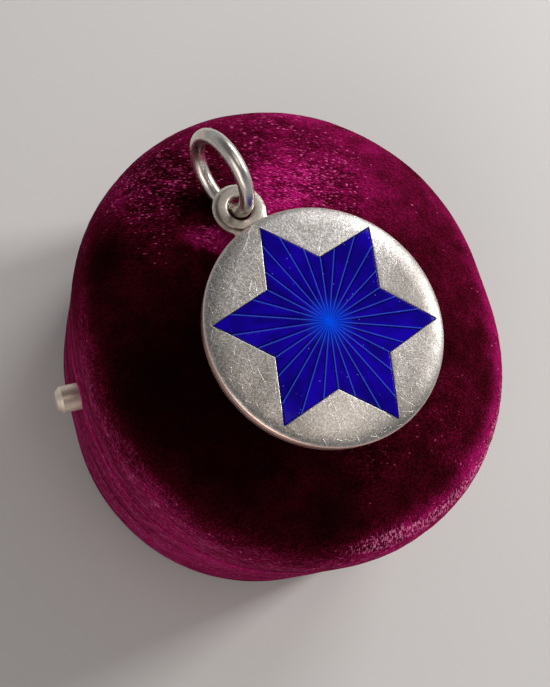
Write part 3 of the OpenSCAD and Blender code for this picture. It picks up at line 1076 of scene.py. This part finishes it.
buildJumpRing()
print("case, eye and ring are made")


# Enamel

def buildRayGroup():
    # engraved rays seen through the enamel, in millimetres round the star's centre
    group, given, result = startGroup(
        "engravedRays", {"Place": None, "Count": 30.0, "Width": 0.1, "Glow": 1.3},
        ["Ray", "Shade", "Glow", "Sector", "Height"])
    x, y, _ = partsOf(given["Place"])
    reach = compute("SQRT", x * x + y * y)
    share = compute("FRACT", compute("ARCTAN2", y, x) * given["Count"] / (2 * math.pi) + 0.5) - 0.5
    aside = reach * compute("SINE", share * (2 * math.pi) / given["Count"]) / given["Width"]
    # painted highlight and shadow: a light line along each engraved ray and a dark flank beside it
    ray, shade = span(abs(aside), 1.0, 0.25), span(abs(aside + 1.9), 1.3, 0.3)
    # clouds drawn out along the rays
    inward = 2.6 / compute("MAXIMUM", reach, 0.3)
    around = addNode("ShaderNodeCombineXYZ", 0, {0: x * inward, 1: y * inward, 2: reach * 0.22})
    feed(result, {"Ray": ray, "Shade": shade, "Glow": span(reach, given["Glow"] * 2.4, given["Glow"] * 0.2),
                  "Sector": span(noiseAt(around, 1 / mm, 4.0, 0.6), 0.36, 0.64), "Height": ray - shade * 0.7})
    return group


engravedRays = buildRayGroup()
enamelLook = {
    "deep": (0.0050, 0.0008, 0.21, 1),
    "vivid": (0.0110, 0.0008, 0.44, 1),
    "ray": (0.040, 0.115, 0.85, 1),
    "shade": (0.002, 0.0003, 0.075, 1),
    "glow": (0.001, 0.040, 0.75, 1),
    "centreRay": (0.001, 0.085, 0.95, 1),
    "dot": (0.22, 0.30, 0.95, 1),
    "dotCell": 0.85,
    "rays": 30,
    "rayWidth": 0.085,
    "glowReach": 1.35,
    "sink": 0.03,
    "inset": 0.035,
    "rim": 0.18,
}


def enamelMaterial():
    look = enamelLook
    material, tree, shader = startMaterial(
        "cobaltEnamel", Metallic=0.22, Coat_Weight=0.14, Coat_Roughness=0.16, Coat_IOR=1.45,
        Specular_IOR_Level=0.0, Roughness=0.5)
    place = drawnOut(objectPlace(tree), (mm, mm, mm), pendantTurn,
                     (pendantMiddle[0] * mm, pendantMiddle[1] * mm, 0))
    rays = useGroup(tree, engravedRays, {
        "Place": place, "Count": float(look["rays"]), "Width": look["rayWidth"], "Glow": look["glowReach"]})
    near, _, dice, _ = cellsAt(place, 1 / look["dotCell"], "2D")
    line = layColours(look["ray"], (rays["Glow"], look["centreRay"]))
    # the rays' light lines and dark flanks are painted highlight and painted shadow
    colour = layColours(look["deep"], (rays["Sector"] * 0.85, look["vivid"]),
                        (rays["Shade"] * 0.8, look["shade"]), (rays["Glow"], look["glow"]),
                        (rays["Ray"] * 0.8, line),
                        (span(near, 0.08, 0.03) * span(dice, 0.84, 1.05), look["dot"]))
    feed(shader, {"Base Color": colour, "Normal": bumpNormal(rays["Height"], 0.05, 0.8)})
    return material


def buildEnamel():
    look = enamelLook
    # columns close together beside each ray, in degrees from it
    half = [0.1, 0.22, 0.38, 0.55, 0.75, 1.0, 1.4, 1.9, 2.6, 3.6, 4.8]
    offsets = [-6, *[-o for o in half[::-1]], 0, *half]
    angles = np.radians([360 / look["rays"] * n + o for n in range(look["rays"]) for o in offsets])
    columns = len(angles)
    aside = np.radians(np.tile(offsets, look["rays"]))
    outline, inner = (starRadius(angles, inset) for inset in (look["inset"], look["inset"] + look["rim"]))
    top, low, loops = faceHeight - look["sink"], faceHeight - frontPlate["cellDepth"] + 0.1, []
    for share in (0.04, 0.08, 0.13, 0.19, 0.26, 0.34, 0.43, 0.52, 0.61, 0.7, 0.77, 0.83, 0.88, 0.92, 0.96, 1):
        r = inner * share
        ridge = 0.012 * bell(r * np.sin(aside), 0.07) * softStep(r, 0.4, 1.5)
        loops.append((r, faceTop(r) - look["sink"] + ridge))
    for share, drop in ((0.5, 0.006), (0.85, 0.03), (1.0, 0.07)):
        r = inner + (outline - inner) * share
        loops.append((r, faceTop(r) - look["sink"] - drop))
    loops.append((outline, low))
    points = np.vstack([[[0, 0, top]], ringPoints(loops, angles), [[0, 0, low]]])
    end = len(points) - 1
    faces = closeRing(1, columns, 0) + bridgeAll(range(1, end, columns), columns)
    faces += closeRing(end - columns, columns, end, -1)
    piece = meshPiece("enamelStar", moved(points, pendantPlace), faces, "box_lid", enamelMaterial(),
                      "blue_enamel", sharpAngle=50)
    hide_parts("enamel_star")
    print("enamel star:", len(piece.data.polygons), "faces")


buildEnamel()


# Button and hinge

brassLooks = {
    "button": {"rough": 0.42, "clean": (0.98, 0.87, 0.74, 1), "dull": (0.66, 0.55, 0.44, 1)},
    "hinge": {"rough": 0.40, "clean": (0.62, 0.46, 0.27, 1), "dull": (0.30, 0.21, 0.13, 1)},
}


def brassMaterial(name, look):
    material, tree, shader = startMaterial(name, Metallic=1.0)
    wear = useGroup(tree, silverWear, {"Place": objectPlace(tree), "Amount": 0.8})
    colour = layColours(look["clean"], (wear["Tarnish"] * 0.8, look["dull"]),
                        (wear["Grain"] * 0.3, look["dull"]), (wear["Scratch"] * 0.35, look["clean"]))
    feed(shader, {"Base Color": colour, "Roughness": wear["Tarnish"] * 0.12 + look["rough"],
                  "Normal": bumpNormal(wear["Height"], 0.02)})
    return material


pushButton = {"radius": 1.6, "from": -22.95, "tip": -27.5, "height": 14.9}


def buildPushButton():
    button = pushButton
    length = button["from"] - button["tip"]
    r = button["radius"]
    section = [(0, length), (r - 0.75, length - 0.02), (r - 0.55, length - 0.06), (r - 0.12, length - 0.5),
               (r, length - 0.68), (r, 0.05), (r - 0.1, 0), (0, 0)]
    points, faces = lathePiece(section, 72)
    turn = Matrix.Rotation(math.radians(90), 4, "X")
    turn = Matrix.Translation((0, button["from"], button["height"])) @ turn
    piece = meshPiece("pushButton", moved(points, turn), faces, "box_base",
                      brassMaterial("wornNickelButton", brassLooks["button"]), "button_metal", sharpAngle=25)
    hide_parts("push_button")


buildPushButton()
hingeBrass = brassMaterial("agedHingeBrass", brassLooks["hinge"])
for nodeName in ("hinge_base", "hinge_lid"):
    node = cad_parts[nodeName]
    node.data.materials.clear()
    node.data.materials.append(hingeBrass)
print("button and hinge are dressed")
